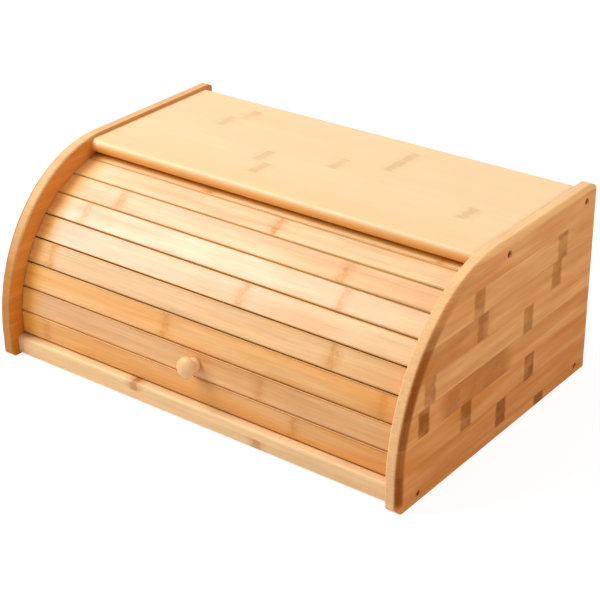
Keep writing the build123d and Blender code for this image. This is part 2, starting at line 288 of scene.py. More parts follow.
# %% Group: the straight fibres
# How often each pattern changes in a metre along and across a strip, and its detail.
BROAD_STREAKS, FINE_STREAKS, DASHES = (5.0, 160.0, 3.0), (22.0, 900.0, 2.0), (45.0, 1500.0, 1.0)
BROAD_SHARE, FINE_SHARE, DASH_SHARE = 0.55, 0.45, -0.12
DASH_START, DASH_FULL = 0.60, 0.72
STREAK_ROUGHNESS, STREAK_CONTRAST = 0.55, 4.0


def fibre_group():
    """Streaks along a strip: Shade is about 1 and multiplies the colour, Relief is a height."""
    tree, given, result = new_group(
        "bamboo fibres", SHADER_TREE,
        {"Place": (DIRECTION, (0, 0, 0)), "Streaks": (NUMBER, 0.1), "Seed": (NUMBER, 0.0)},
        {"Shade": NUMBER, "Relief": NUMBER},
    )

    def streaks(along, across, detail):
        noise = add(tree, "ShaderNodeTexNoise", {
            "Vector": scaled(tree, given["Place"], (along, across, across)), "W": given["Seed"],
            "Scale": 1.0, "Detail": detail, "Roughness": STREAK_ROUGHNESS,
        }, noise_dimensions="4D")
        return noise.outputs["Fac"]

    broad = times(tree, streaks(*BROAD_STREAKS), BROAD_SHARE)
    mixed = calc(tree, "MULTIPLY_ADD", streaks(*FINE_STREAKS), FINE_SHARE, broad)
    dashes = ramp(tree, streaks(*DASHES), DASH_START, DASH_FULL, kind="LINEAR")
    mixed = calc(tree, "MULTIPLY_ADD", dashes, DASH_SHARE, mixed)
    centred = times(tree, calc(tree, "SUBTRACT", mixed, 0.5), STREAK_CONTRAST)
    shade = calc(tree, "MULTIPLY_ADD", centred, given["Streaks"], 1.0)
    tree.links.new(shade, result["Shade"])
    tree.links.new(mixed, result["Relief"])
    return tree


FIBRES = fibre_group()
print(FIBRES.name, len(FIBRES.nodes), "nodes")

# %% Group: strips glued edge to edge
GLUE_LINE = 0.0005


def strip_group():
    """Which strip a point is in: its Number, its own Tone from 0 to 1, the Offset from its middle."""
    tree, given, result = new_group(
        "glued strips", SHADER_TREE,
        {"Across": (NUMBER, 0.0), "Width": (NUMBER, 0.02), "Seed": (NUMBER, 0.0)},
        {"Number": NUMBER, "Tone": NUMBER, "Offset": NUMBER, "Glue": NUMBER},
    )
    counted = calc(tree, "ADD", calc(tree, "DIVIDE", given["Across"], given["Width"]), 0.5)
    number = calc(tree, "FLOOR", counted)
    inside = calc(tree, "SUBTRACT", calc(tree, "SUBTRACT", counted, number), 0.5)
    tone = add(tree, "ShaderNodeTexWhiteNoise", {"W": calc(tree, "ADD", number, given["Seed"])},
               noise_dimensions="1D").outputs["Value"]
    edge = times(tree, calc(tree, "SUBTRACT", 0.5, calc(tree, "ABSOLUTE", inside)), given["Width"])
    tree.links.new(number, result["Number"])
    tree.links.new(tone, result["Tone"])
    tree.links.new(times(tree, inside, given["Width"]), result["Offset"])
    tree.links.new(ramp(tree, edge, 0.0, GLUE_LINE, 1.0, 0.0), result["Glue"])
    return tree


STRIPS = strip_group()
print(STRIPS.name, len(STRIPS.nodes), "nodes")

# %% Group: the mark of a cane's ring
# How often the mark's edge wavers in a metre across and along the strip.
WAVER_ACROSS, WAVER_ALONG = 240.0, 60.0
# Where the core and the band round it fade, in breadths from the middle of the mark.
CORE_FADE, HALO_FADE = (0.36, 0.58), (0.45, 1.60)


def ring_group():
    """A bar across a strip at a place along it. Mark is its core, Halo the softer band round it."""
    tree, given, result = new_group(
        "cane ring", SHADER_TREE,
        {"Along": (NUMBER, 0.0), "Offset": (NUMBER, 0.0), "Ring place": (NUMBER, 0.0),
         "Breadth": (NUMBER, 0.006), "Wander": (NUMBER, 0.002), "Seed": (NUMBER, 0.0)},
        {"Mark": NUMBER, "Halo": NUMBER},
    )
    waver = joined(tree, times(tree, given["Offset"], WAVER_ACROSS), times(tree, given["Along"], WAVER_ALONG),
                   given["Seed"])
    noise = calc(tree, "SUBTRACT", speckle(tree, waver, 1.0, 2.0), 0.5)
    swing = times(tree, noise, given["Wander"], 2.0)
    away = calc(tree, "ADD", calc(tree, "SUBTRACT", given["Along"], given["Ring place"]), swing)
    away = calc(tree, "ABSOLUTE", away)
    for name, (full, gone) in (("Mark", CORE_FADE), ("Halo", HALO_FADE)):
        near, far = times(tree, given["Breadth"], full), times(tree, given["Breadth"], gone)
        tree.links.new(ramp(tree, away, near, far, 1.0, 0.0), result[name])
    return tree


RINGS = ring_group()
print(RINGS.name, len(RINGS.nodes), "nodes")

# %% Helpers for every material
def group(tree, which, **inputs):
    """Place a group; an underscore in an input's name stands for a space."""
    named = {name.replace("_", " "): value for name, value in inputs.items()}
    return add(tree, "ShaderNodeGroup", named, node_tree=which).outputs


def blank_material(title):
    """A material with an empty tree, its object coordinates already split into x, y and z."""
    made = bpy.data.materials.new(title)
    tree = emptied_tree(made)
    coords = tree.nodes.new("ShaderNodeTexCoord").outputs
    return made, tree, split(tree, coords["Object"]), coords


# %% Helper: wood under lacquer
MOTTLE_SCALE, MOTTLE_LOW, MOTTLE_HIGH = 38.0, 0.3, 0.7
GLOSSIER, DULLER = 0.05, 0.07


def lacquered(tree, wood, fibres, height, roughness=0.42, shine=0.3, coat=0.05):
    """Streaked wood under a thin satin lacquer: the shader, its bump and the material's output."""
    streaked = blend_colours(tree, 1.0, wood, fibres["Shade"], "MULTIPLY")
    mottle = speckle(tree, tree.nodes.new("ShaderNodeTexCoord").outputs["Object"], MOTTLE_SCALE)
    worn = ramp(tree, mottle, MOTTLE_LOW, MOTTLE_HIGH, roughness - GLOSSIER, roughness + DULLER, "LINEAR")
    bump = add(tree, "ShaderNodeBump", {"Strength": 0.35, "Distance": height, "Height": fibres["Relief"]})
    shader = add(tree, "ShaderNodeBsdfPrincipled", {
        "Base Color": streaked, "Roughness": worn, "Normal": bump.outputs[0],
        "Specular IOR Level": shine, "Coat Weight": coat, "Coat Roughness": 0.22,
    })
    add(tree, "ShaderNodeOutputMaterial", {"Surface": shader.outputs[0]})


# %% [markdown]
# ## Pale boards
# The top board, the rail, the bottom and the back are the palest bamboo: strips 21.5 mm wide that
# run across the box, almost white in the light, with faint broken marks. The strips' grain runs
# along X, so `along` is x, and `across` is y on the flat boards and z on the upright ones.
# Where each strip's ring marks lie is read from a ramp with one step for each strip, because the
# eye remembers their pattern. A place of `FAR` leaves a strip without a mark.

# %% Helper: one value for each strip
# A place in millimetres that lies beyond the end of every board.
FAR = 400
# Millimetres in a metre.
MM = 1000.0


def per_strip(tree, number, values, reach):
    """Look up one value for each strip, from -reach to reach: a stepped ramp holds them as greys."""
    node = tree.nodes.new("ShaderNodeValToRGB")
    node.color_ramp.interpolation = "CONSTANT"
    steps = node.color_ramp.elements
    while len(steps) < len(values):
        steps.new(0.0)
    for index, value in enumerate(values):
        grey = 0.5 + value / reach / 2
        steps[index].position = index / len(values)
        steps[index].color = (grey, grey, grey, 1)
    tree.links.new(calc(tree, "DIVIDE", calc(tree, "ADD", number, 0.5), len(values)), node.inputs[0])
    return times(tree, calc(tree, "SUBTRACT", node.outputs["Color"], 0.5), 2 * reach)


def mark_place(tree, strips, places):
    """Where a strip's ring mark lies, in metres, from one place in mm for each strip."""
    return calc(tree, "DIVIDE", per_strip(tree, strips["Number"], places, FAR), MM)


# %% Material for the pale boards
BOARD_STRIP, BOARD_CLOUDS = 0.0215, (9.0, 30.0, 3.0)
OWN_TONE, CLOUD_TONE = 0.55, 0.45
BOARD_RING, BOARD_WANDER = 0.0075, 0.004
HALO_SHARE, GLUE_SHARE = 0.6, 0.06
NEXT_BOARD_STRIP = 0.37
NOSE_DROOP, NOSE_SHADE_TURN = -0.6, (0.1, 1.2)


def board_material(title, colours, nose_shade, axis, lowest, marks, seed, streaks, strength):
    """Bamboo board with its grain along x. The colours are pale, deep, mark and nose: the last is painted
    shade on the faces that turn forwards and down. Lowest is where the first strip starts, and marks
    has two rows with a ring's place on each strip, in mm."""
    pale, deep, mark, nose = (colour(*shade) for shade in colours)
    made, tree, place, coords = blank_material(title)
    across = place[axis]
    lifted = calc(tree, "SUBTRACT", across, lowest + BOARD_STRIP / 2)
    strips = group(tree, STRIPS, Across=lifted, Width=BOARD_STRIP, Seed=seed)
    own = calc(tree, "ADD", strips["Number"], seed)
    vector = joined(tree, place["X"], across, times(tree, own, NEXT_BOARD_STRIP))
    fibres = group(tree, FIBRES, Place=vector, Streaks=streaks, Seed=seed)
    cloud = clouds(tree, vector, BOARD_CLOUDS)
    tone = calc(tree, "MULTIPLY_ADD", strips["Tone"], OWN_TONE, times(tree, cloud, CLOUD_TONE))
    wood = blend_colours(tree, tone, deep, pale)
    broken = ramp(tree, cloud, 0.35, 0.60, strength / 2, strength)
    for row in marks:
        ring = group(tree, RINGS, Along=place["X"], Offset=strips["Offset"], Seed=own, Breadth=BOARD_RING,
                     Wander=BOARD_WANDER, Ring_place=mark_place(tree, strips, row))
        wood = blend_colours(tree, times(tree, ring["Halo"], times(tree, broken, HALO_SHARE)), wood, mark)
        wood = blend_colours(tree, times(tree, ring["Mark"], broken), wood, mark)
    wood = blend_colours(tree, times(tree, strips["Glue"], GLUE_SHARE), wood, mark)
    # Painted shade: faces that turn forwards and down, such as the nose's lower half, turn darker orange.
    facing = split(tree, coords["Normal"])
    forwards = calc(tree, "SUBTRACT", times(tree, facing["Z"], NOSE_DROOP), facing["Y"])
    wood = blend_colours(tree, ramp(tree, forwards, *NOSE_SHADE_TURN, 0.0, nose_shade), wood, nose)
    lacquered(tree, wood, fibres, height=0.00006)
    print(title, len(tree.nodes), "nodes")
    return made


# %% The four pale boards
TOP_MARKS = ((FAR, -35, -48, 12, -123, -113, FAR), (FAR, FAR, 147, FAR, 51, 51, FAR))
RAIL_MARKS = ((66, -58), (FAR, FAR))
BACK_MARKS = ((-120, 40, 150, -60, 95, -150, 10), (110, FAR, -95, FAR, FAR, 60, FAR))
BOTTOM_MARKS = ((-70, 130, -20, 60, -140, 90, -100, 30, 150, -50, 100, -130),
                (120, FAR, FAR, -110, 20, FAR, 140, FAR, -80, FAR, FAR, FAR))
# Each board's colours: pale, deep, mark, and the painted shade of its forward and downward faces.
TOP_COLOURS = ((252, 216, 166), (249, 206, 152), (198, 142, 84), (240, 168, 84))
RAIL_COLOURS = ((253, 214, 160), (240, 188, 128), (186, 116, 50), (246, 198, 140))
INNER_COLOURS = ((238, 190, 132), (222, 168, 106), (180, 118, 60), (236, 184, 124))
PALE_TOP = board_material("pale bamboo top", TOP_COLOURS, nose_shade=1.0, axis="Y", lowest=-0.022,
                          marks=TOP_MARKS, seed=4.0, streaks=0.04, strength=0.24)
PALE_RAIL = board_material("pale bamboo rail", RAIL_COLOURS, nose_shade=0.25, axis="Z", lowest=-0.012,
                           marks=RAIL_MARKS, seed=9.0, streaks=0.22, strength=0.75)
PALE_BACK = board_material("pale bamboo back", INNER_COLOURS, nose_shade=0.25, axis="Z", lowest=0.010,
                           marks=BACK_MARKS, seed=15.0, streaks=0.16, strength=0.45)
PALE_BOTTOM = board_material("pale bamboo bottom", INNER_COLOURS, nose_shade=1.0, axis="Y", lowest=-0.130,
                             marks=BOTTOM_MARKS, seed=23.0, streaks=0.16, strength=0.45)

# %% [markdown]
# ## Caramel side panels
# The side panels are a darker, caramel bamboo. Their strips are 21.6 mm wide, from front to
# back, so `along` is y and `across` is z, and each strip's ring marks are brown bars with straight
# ends. The strips' tones and the places of the marks are read from ramps, as on the pale boards.
# The left panel is the same board turned round.
# The curved front edge is cut across the fibres. Its outer round-over is painted dark brown,
# partly for the darker end grain and partly as painted shade. The flats in front and the
# round-over along the top carry a painted highlight, and the flats on top are paler. Masks find
# these places: by the way that the surface faces, by its height, and by its distance from the
# middle of the curve.

# %% The side panels' strips and marks
SIDE_STRIP, LOWEST_SEAM = 0.0216, 0.0088
STRIP_TONES = (0.20, 0.18, 0.25, 0.38, 0.72, 0.52, 0.72, 0.66, 0.60)
FIRST_MARKS = (60, 2, 42, -104, 37, 77, -35, FAR, FAR)
SECOND_MARKS = (FAR, FAR, -48, FAR, -97, -29, 84, FAR, FAR)
BROAD_SHADES = (FAR, FAR, FAR, -35, FAR, -66, FAR, FAR, FAR)
CARAMEL_DARK, CARAMEL_LIGHT = colour(209, 128, 58), colour(233, 166, 103)
# Painted shade for the panels' inner faces, and a painted highlight along their top rim.
INNER_FACE_SHADE, INNER_RIM_HIGHLIGHT = colour(214, 124, 26), colour(210, 146, 76)
RING_BROWN, SHADE_AMBER = colour(150, 79, 0), colour(174, 96, 30)
# Each kind of mark: its places, its breadth, its colour and its strength where it is worn and where not.
SIDE_RINGS = (
    (BROAD_SHADES, 0.095, SHADE_AMBER, 0.40, 0.68),
    (FIRST_MARKS, 0.0145, RING_BROWN, 0.55, 0.97),
    (SECOND_MARKS, 0.0150, RING_BROWN, 0.50, 0.92),
)
OTHER_PANEL, NEXT_SIDE_STRIP, THROUGH_BOARD = 11.0, 0.41, 0.3
LONG_PATCHES, PATCH_CONTRAST, WORN_PATCHES = (12.0, 90.0, 2.0), 1.9, (60.0, 90.0, 2.0)
SIDE_WANDER, SIDE_GLUE = 0.0014, 0.20
INNER_RIM_FADE = (BOX_HIGH.z - 0.0050, BOX_HIGH.z - 0.0030)


def side_strips(tree, place, side, outwards):
    """The strips' wood with its ring marks, and the groups that hold the strips and the fibres."""
    along = times(tree, place["Y"], side)
    lifted = calc(tree, "ADD", place["Z"], SIDE_STRIP / 2 - LOWEST_SEAM)
    strips = group(tree, STRIPS, Across=lifted, Width=SIDE_STRIP, Seed=2.0)
    own = calc(tree, "MULTIPLY_ADD", side, OTHER_PANEL, strips["Number"])
    layer = calc(tree, "MULTIPLY_ADD", own, NEXT_SIDE_STRIP, times(tree, place["X"], THROUGH_BOARD))
    vector = joined(tree, along, place["Z"], layer)
    fibres = group(tree, FIBRES, Place=vector, Streaks=0.20, Seed=6.0)
    patches = calc(tree, "SUBTRACT", clouds(tree, vector, LONG_PATCHES), 0.5)
    tone = calc(tree, "ADD", per_strip(tree, strips["Number"], STRIP_TONES, 1.0),
                times(tree, patches, PATCH_CONTRAST))
    wood = blend_colours(tree, ramp(tree, tone, 0.0, 1.0, kind="LINEAR"), CARAMEL_DARK, CARAMEL_LIGHT)
    # Painted shade: faces that turn inwards get a deeper orange, with a painted highlight near the top.
    inner_shade = blend_colours(tree, ramp(tree, place["Z"], *INNER_RIM_FADE), INNER_FACE_SHADE, INNER_RIM_HIGHLIGHT)
    wood = blend_colours(tree, ramp(tree, outwards, -0.3, -0.8, 0.0, 0.65), wood, inner_shade)
    fainter_above = ramp(tree, strips["Number"], 3.2, 3.8, 1.0, 0.62)
    shown = times(tree, ramp(tree, outwards, 0.0, 0.5), fainter_above)
    for places, breadth, paint, worn, fresh in SIDE_RINGS:
        ring = group(tree, RINGS, Along=along, Offset=strips["Offset"], Breadth=breadth, Seed=own,
                     Wander=SIDE_WANDER, Ring_place=mark_place(tree, strips, places))
        depth = times(tree, ramp(tree, clouds(tree, vector, WORN_PATCHES), 0.3, 0.6, worn, fresh), shown)
        wood = blend_colours(tree, times(tree, ring["Mark"], depth), wood, paint)
    wood = blend_colours(tree, times(tree, strips["Glue"], SIDE_GLUE), wood, RING_BROWN)
    return wood, strips, fibres


# %% The side panels' edges
CURVE_MIDDLE, CURVE_REACH, CURVE_RIM = (-0.010, 0.022), (0.124, 0.140), (0.938, 0.972)
FOOT_FADE, CURVE_FADE = (0.003, 0.010), (BOX_HIGH.z - 0.004, BOX_HIGH.z - 0.062)
ROUND_OVER_FADE, LEFT_EDGE_FADE = (BOX_HIGH.z - 0.0048, BOX_HIGH.z - 0.0028), (0.06, 0.14)
END_GRAIN_AND_SHADE, ROUND_OVER_HIGHLIGHT = colour(150, 76, 18), colour(248, 190, 124)
LEFT_EDGE_LOW, LEFT_EDGE_HIGH, RIGHT_EDGE_HIGHLIGHT = colour(200, 134, 68), colour(238, 194, 142), colour(253, 202, 146)
LEFT_TOP, RIGHT_TOP = colour(238, 188, 136), colour(251, 203, 151)
EDGE_SHARE, TOP_SHARE = 0.85, 0.90


def along_the_curve(tree, place):
    """1 at the curved front edge, which is a quarter of an ellipse; 0 further in."""
    back = calc(tree, "MINIMUM", calc(tree, "SUBTRACT", place["Y"], CURVE_MIDDLE[0]), 0.0)
    up = calc(tree, "MAXIMUM", calc(tree, "SUBTRACT", place["Z"], CURVE_MIDDLE[1]), 0.0)
    back, up = calc(tree, "DIVIDE", back, CURVE_REACH[0]), calc(tree, "DIVIDE", up, CURVE_REACH[1])
    distance = calc(tree, "SQRT", calc(tree, "MULTIPLY_ADD", back, back, times(tree, up, up)))
    return ramp(tree, distance, *CURVE_RIM)


def side_edges(tree, wood, strips, place, side, normal, outwards):
    """The wood with its edges: painted highlights on the front flats and the top round-over, paler flats
    on top, and the front round-over darkened by end grain and painted shade.
    """
    is_right = ramp(tree, side, -0.5, 0.5)
    # Painted highlight on the round-over along the panel's top edge.
    round_over_highlight = times(tree, ramp(tree, place["Z"], *ROUND_OVER_FADE), ramp(tree, outwards, 0.0, 0.15))
    wood = blend_colours(tree, times(tree, round_over_highlight, EDGE_SHARE), wood, ROUND_OVER_HIGHLIGHT)
    on_top = times(tree, ramp(tree, normal["Z"], 0.80, 0.98), ramp(tree, outwards, 0.50, 0.10))
    top_tone = blend_colours(tree, is_right, LEFT_TOP, RIGHT_TOP)
    wood = blend_colours(tree, times(tree, on_top, TOP_SHARE), wood, top_tone)
    # Painted highlight: the flat front edges are pale, the left one darker towards the bottom.
    forwards = times(tree, normal["Y"], -1.0)
    front_highlight = times(tree, ramp(tree, outwards, 0.40, 0.10), ramp(tree, forwards, 0.02, 0.12))
    left_tone = blend_colours(tree, ramp(tree, place["Z"], *LEFT_EDGE_FADE), LEFT_EDGE_LOW, LEFT_EDGE_HIGH)
    front_highlight_tone = blend_colours(tree, is_right, left_tone, RIGHT_EDGE_HIGHLIGHT)
    wood = blend_colours(tree, times(tree, front_highlight, EDGE_SHARE), wood, front_highlight_tone)
    # The curve's outer round-over: darker end grain and painted shade, fading towards the top and foot.
    height = times(tree, ramp(tree, place["Z"], *FOOT_FADE), ramp(tree, place["Z"], *CURVE_FADE, 0.06, 1.0))
    end_grain_and_shade = times(tree, along_the_curve(tree, place), ramp(tree, outwards, 0.0, 0.62), height,
                  ramp(tree, strips["Tone"], 0.0, 1.0, 0.70, 0.95))
    return blend_colours(tree, end_grain_and_shade, wood, END_GRAIN_AND_SHADE)


# %% Material for the side panels
def side_material():
    """Caramel bamboo for both side panels."""
    made, tree, place, coords = blank_material("caramel bamboo side")
    normal = split(tree, coords["Normal"])
    side = calc(tree, "SIGN", place["X"])
    outwards = times(tree, normal["X"], side)
    wood, strips, fibres = side_strips(tree, place, side, outwards)
    wood = side_edges(tree, wood, strips, place, side, normal, outwards)
    lacquered(tree, wood, fibres, height=0.00008, roughness=0.50, shine=0.06, coat=0.0)
    print(made.name, len(tree.nodes), "nodes")
    return made


CARAMEL_SIDE = side_material()

# %% [markdown]
# ## Dress the case
# The case's boards already have their real shape, with the routed groove and the screw holes in
# them, so they stay as they are and only get their materials.

# %% Give the case its bamboo
def dress(node, material):
    """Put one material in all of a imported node's slots."""
    for holder in frame["nodes"][node].material_slots:
        holder.material = material


for node, material in {
    "side_panel_left": CARAMEL_SIDE, "side_panel_right": CARAMEL_SIDE, "top_board": PALE_TOP,
    "front_rail": PALE_RAIL, "back_board": PALE_BACK, "bottom_board": PALE_BOTTOM,
}.items():
    dress(node, material)
    print(node, "is", material.name)

# %% [markdown]
# ## Measure the lid
# The slats lie round the lid's turning axis like tangents to a circle. Their angle, reach, width
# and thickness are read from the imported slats, so that the dressed lid is the same size. Angles
# start at 0 in front and reach 90 degrees straight above the axis.

# %% Read the slats' place and size
AXIS = Vector(frame["joints"][0]["pos_m"])
SLAT_COUNT = sum(1 for name in frame["nodes"] if name.startswith("slat_"))


def spots(node):
    """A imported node's points as rows of x, y and z, seen from the lid's axis."""
    return np.array([v.co for v in frame["nodes"][node].data.vertices]) - np.array(AXIS)


def slat_angle(number):
    """The angle round the axis at which a packed slat lies, counted from 1 at the bottom."""
    middle = spots(f"slat_{number:02d}").mean(axis=0)
    return math.atan2(middle[2], -middle[1])


FIRST_ANGLE = slat_angle(1)
STEP_ANGLE = (slat_angle(SLAT_COUNT) - FIRST_ANGLE) / (SLAT_COUNT - 1)
first = spots("slat_01")
outwards = first @ np.array([0, -math.cos(FIRST_ANGLE), math.sin(FIRST_ANGLE)])
lengthwise = first @ np.array([0, math.sin(FIRST_ANGLE), math.cos(FIRST_ANGLE)])
LID_RADIUS, SLAT_THICK = float(outwards.max()), float(outwards.max() - outwards.min())
SLAT_WIDTH = float(lengthwise.max() - lengthwise.min())
HALF_SLAT = SLAT_WIDTH / 2
SLAT_LENGTH = float(first[:, 0].max() - first[:, 0].min())
print(f"{SLAT_COUNT} slats, {SLAT_LENGTH * MM:.1f} x {SLAT_WIDTH * MM:.1f} x {SLAT_THICK * MM:.1f} mm,"
      f" radius {LID_RADIUS * MM:.1f} mm, from {math.degrees(FIRST_ANGLE):.2f} degrees"
      f" every {math.degrees(STEP_ANGLE):.2f}")

# %% [markdown]
# ## The slats' finish
# A slat is one strip of bamboo, so it has fibres and a ring mark or two, but no glue lines. The
# tints differ from slat to slat: the lower ones are amber, one is a little rosy, and the upper ones
# are cream. Every slat carries its tint and the places of its marks as attributes of the mesh,
# which the material reads. That keeps ten slats in one material.
# The lid also carries painted shade. The corners by the seams are brown, partly dark joints and
# partly painted shade; the lowest edge by the rail and the wood under the top board's nose carry a
# painted shadow, and the slats' left ends the left panel's. The walls inside the seams are painted
# lighter, as painted light, because a seam half a millimetre wide would otherwise look like a
# black line.

# %% The slats' wood and marks
NEXT_SLAT = 0.53
RIGHT_SHADE_FADE, LEFT_SHADOW_FADE = (-0.16, 0.19), (-0.158, -0.184)
SLAT_CLOUDS, SLAT_BLOTCHES = (7.0, 60.0, 9.0), (260.0, 200.0, 9.0)
ORANGE, BUTTER = colour(236, 160, 84), colour(255, 218, 164)
SLAT_BROWN, LEFT_PANEL_SHADOW = colour(216, 142, 54), colour(255, 180, 60)
SLAT_RING, SLAT_WANDER, SLAT_HALO = 0.0066, 0.006, 0.25


def carried(tree, name, output="Fac"):
    """An attribute that the mesh carries at each of its points."""
    return add(tree, "ShaderNodeAttribute", attribute_name=name).outputs[output]


def slat_wood(tree, place, number, across, vector):
    """The slat's tint with painted shade towards the right, soft clouds and the marks of its two rings,
    and the left panel's painted shadow on its left end.
    """
    # Painted shade: towards the right the wood turns to the darker right-end tint.
    shaded_right = times(tree, ramp(tree, place["X"], *RIGHT_SHADE_FADE, 0.0, 0.60, "LINEAR"),
                    ramp(tree, number, 4.0, 8.0, 1.0, 0.45))
    wood = blend_colours(tree, shaded_right, carried(tree, "tint", "Color"), carried(tree, "right_shade", "Color"))
    cloud = clouds(tree, vector, SLAT_CLOUDS)
    wood = blend_colours(tree, ramp(tree, cloud, 0.45, 0.70, 0.0, 0.30), wood, ORANGE)
    wood = blend_colours(tree, ramp(tree, cloud, 0.55, 0.30, 0.0, 0.25), wood, BUTTER)
    patchy = ramp(tree, clouds(tree, vector, SLAT_BLOTCHES), 0.36, 0.60, 0.15, 0.60)
    for name in ("ring_a", "ring_b"):
        ring = group(tree, RINGS, Along=place["X"], Offset=across, Ring_place=carried(tree, name),
                     Breadth=SLAT_RING, Wander=SLAT_WANDER, Seed=number)
        wood = blend_colours(tree, times(tree, ring["Halo"], SLAT_HALO), wood, SLAT_BROWN)
        wood = blend_colours(tree, times(tree, ring["Mark"], patchy), wood, SLAT_BROWN)
    # Painted shadow of the left panel on the slats' left ends.
    return blend_colours(tree, ramp(tree, place["X"], *LEFT_SHADOW_FADE, 0.0, 0.65), wood, LEFT_PANEL_SHADOW)


# %% The slats' worn edges
# How far from the slat's middle the corners' brown and the walls' painted light come in.
CORNER_FADE, WALL_FADE = (0.0086, 0.0094), (0.0097, 0.0099)
UNDER_NOSE, TONE_CHANGE, NINTH_SLAT = (-0.0240, -0.0215), (2.4, 4.6), (8.4, 8.6)
WORN_AND_SHADED_CORNERS = (colour(192, 118, 30), colour(210, 153, 82))
SEAM_WALL_LIGHTS = (colour(255, 206, 140), colour(255, 222, 156))
RAIL_GAP_SHADE, NOSE_SHADOW = colour(160, 86, 0), colour(220, 162, 28)


def slat_edges(tree, wood, place, number, across):
    """The wood with brown corners that are part painted shade, painted light on the seam walls, and
    painted shadow by the rail and under the nose.
    """
    edge = calc(tree, "ABSOLUTE", across)
    higher_up = ramp(tree, number, *TONE_CHANGE)
    # Brown corners by the seams: part dark joint, part painted shade, stronger towards the right.
    worn = times(tree, ramp(tree, edge, *CORNER_FADE, 0.0, 0.85),
                 ramp(tree, place["X"], *RIGHT_SHADE_FADE, 0.50, 1.0, "LINEAR"))
    wood = blend_colours(tree, worn, wood, blend_colours(tree, higher_up, *WORN_AND_SHADED_CORNERS))
    not_lowest, upper_half = calc(tree, "GREATER_THAN", number, 1.5), calc(tree, "GREATER_THAN", across, 0.0)
    in_a_seam = calc(tree, "MAXIMUM", not_lowest, upper_half)
    # Painted light on the walls inside the seams, so that a narrow seam is not black.
    wall = times(tree, ramp(tree, edge, *WALL_FADE, 0.0, 0.9), in_a_seam)
    wood = blend_colours(tree, wall, wood, blend_colours(tree, higher_up, *SEAM_WALL_LIGHTS))
    # Painted shade on the lowest slat's bottom edge, in the gap above the rail.
    rail_gap_shade = times(tree, ramp(tree, edge, *CORNER_FADE, 0.0, 0.80), calc(tree, "SUBTRACT", 1.0, in_a_seam))
    wood = blend_colours(tree, rail_gap_shade, wood, RAIL_GAP_SHADE)
    # Painted shadow under the top board's nose, on the upper slats that lie beneath it.
    nose_shadow = times(tree, ramp(tree, place["Y"], *UNDER_NOSE, 0.0, 0.70), ramp(tree, number, *NINTH_SLAT))
    return blend_colours(tree, nose_shadow, wood, NOSE_SHADOW)


# %% Material for the slats
def slat_material():
    """One strip of bamboo, tinted and marked by the mesh's own attributes."""
    made, tree, place, _ = blank_material("lacquered slat")
    number, across = carried(tree, "slat"), carried(tree, "across")
    vector = joined(tree, place["X"], across, times(tree, number, NEXT_SLAT))
    fibres = group(tree, FIBRES, Place=vector, Streaks=0.27, Seed=1.0)
    wood = slat_wood(tree, place, number, across, vector)
    wood = slat_edges(tree, wood, place, number, across)
    lacquered(tree, wood, fibres, height=0.00006, roughness=0.38, shine=0.4, coat=0.06)
    print(made.name, len(tree.nodes), "nodes")
    return made


SLAT_BAMBOO = slat_material()

# %% [markdown]
# ## The slats
# Ten equal bars, each turned a little further round the axis, are what Geometry Nodes are good at.
# The tree draws one bar, rounds its outer corners, lifts it out to the lid's radius and places a
# copy for each slat. The bar's flat faces stay flat shaded and only its round corners are smooth,
# so that the light breaks at the seams as it does on planed wood.

# %% Tree: a row of bars round an axis
CORNER_STEPS, FLAT_FACE = 4, 0.999
QUARTER_TURN = math.pi / 2


def end_tree(tree, row, given, result):
    """Turn a row of copies into one real mesh, give it its finish and hand it out."""
    whole = add(tree, "GeometryNodeRealizeInstances", {"Geometry": row.outputs[0]})
    painted = add(tree, "GeometryNodeSetMaterial",
                  {"Geometry": whole.outputs[0], "Material": given["Finish"]})
    tree.links.new(painted.outputs[0], result["Geometry"])


def slat_bar(tree, given):
    """One bar, drawn along x and lifted out to the lid's radius."""
    end = joined(tree, calc(tree, "DIVIDE", given["Length"], 2.0))
    start = add(tree, "ShaderNodeVectorMath", {0: end, "Scale": -1.0}, operation="SCALE").outputs[0]
    spine = add(tree, "GeometryNodeCurvePrimitiveLine", {"Start": start, "End": end})
    section = add(tree, "GeometryNodeCurvePrimitiveQuadrilateral",
                  {"Width": given["Width"], "Height": given["Thickness"]})
    corner = split(tree, tree.nodes.new("GeometryNodeInputPosition").outputs[0])
    outer = calc(tree, "GREATER_THAN", corner["Y"], 0.0)
    spread = calc(tree, "SUBTRACT", given["Outer round"], given["Inner ease"])
    rounding = calc(tree, "MULTIPLY_ADD", outer, spread, given["Inner ease"])
    section = add(tree, "GeometryNodeFilletCurve",
                  {"Curve": section.outputs[0], "Radius": rounding}, mode="POLY")
    section.inputs["Count"].default_value = CORNER_STEPS
    bar = add(tree, "GeometryNodeCurveToMesh",
              {"Curve": spine.outputs[0], "Profile Curve": section.outputs[0], "Fill Caps": True})
    across = split(tree, tree.nodes.new("GeometryNodeInputPosition").outputs[0])["Y"]
    bar = add(tree, "GeometryNodeStoreNamedAttribute",
              {"Geometry": bar.outputs[0], "Name": "across", "Value": across})
    slope = add(tree, "ShaderNodeVectorMath", {0: tree.nodes.new("GeometryNodeInputNormal").outputs[0]},
                operation="ABSOLUTE")
    lean = split(tree, slope.outputs[0])
    steepest = calc(tree, "MAXIMUM", calc(tree, "MAXIMUM", lean["X"], lean["Y"]), lean["Z"])
    bar = add(tree, "GeometryNodeSetShadeSmooth",
              {"Geometry": bar.outputs[0], "Shade Smooth": calc(tree, "LESS_THAN", steepest, FLAT_FACE)})
    half = times(tree, given["Thickness"], 0.5)
    lift = joined(tree, z=calc(tree, "SUBTRACT", given["Radius"], half))
    return add(tree, "GeometryNodeTransform", {"Geometry": bar.outputs[0], "Translation": lift}).outputs[0]


